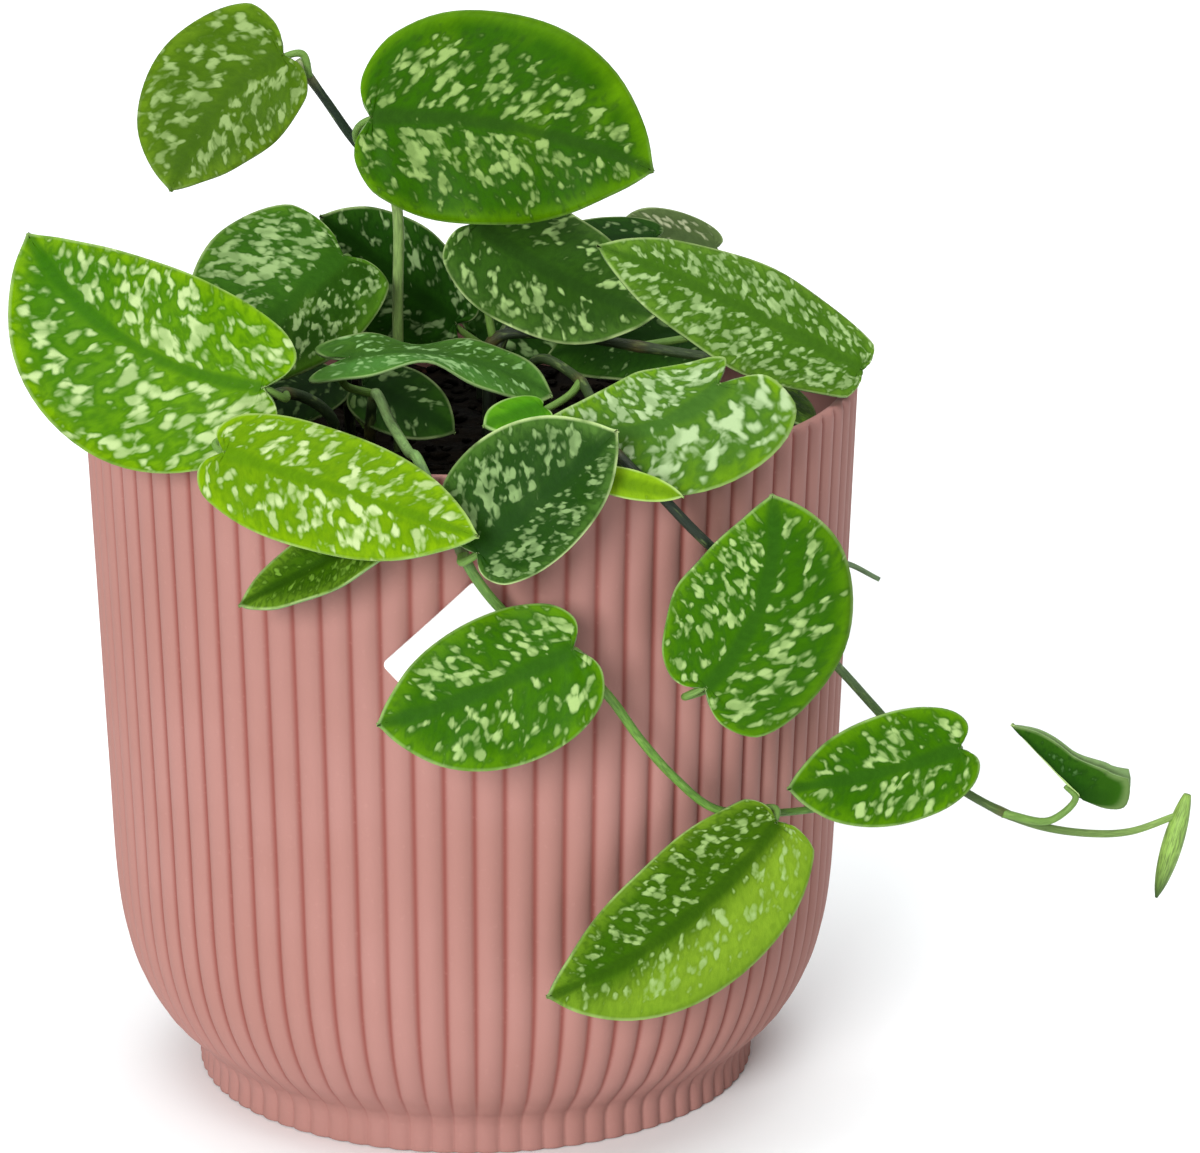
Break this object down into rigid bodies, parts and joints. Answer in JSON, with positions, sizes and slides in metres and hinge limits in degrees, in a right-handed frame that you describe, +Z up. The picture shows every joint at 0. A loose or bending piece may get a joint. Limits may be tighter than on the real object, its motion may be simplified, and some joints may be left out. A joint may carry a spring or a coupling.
{
  "type": "potted satin pothos plant",
  "caption": "Trailing satin pothos with silver-blotched heart leaves on vines, growing in a ribbed round flower pot with a blank label card on its front.",
  "frame": {"origin": "centre of the pot's flat underside", "axes": "+Z up along the pot's axis, -Y towards the front of the pot where the label card sits, +X towards the long trailing vine"},
  "size_m": [0.2057, 0.1786, 0.1956],
  "materials": {
    "pot": "satin pink glaze",
    "soil": "rough dark potting soil",
    "label": "smooth white card",
    "leaf": "satin leaf with silver blotches"
  },
  "bodies": {
    "root": {"pot": "pot", "soil": "soil", "label": "label", "vine_upright": "leaf", "vine_front": "leaf", "vine_right": "leaf", "vine_left": "leaf", "vine_shade": "leaf", "vine_rim": "leaf", "vine_back_right": "leaf", "vine_back_left": "leaf", "vine_back": "leaf"}
  },
  "joints": []
}
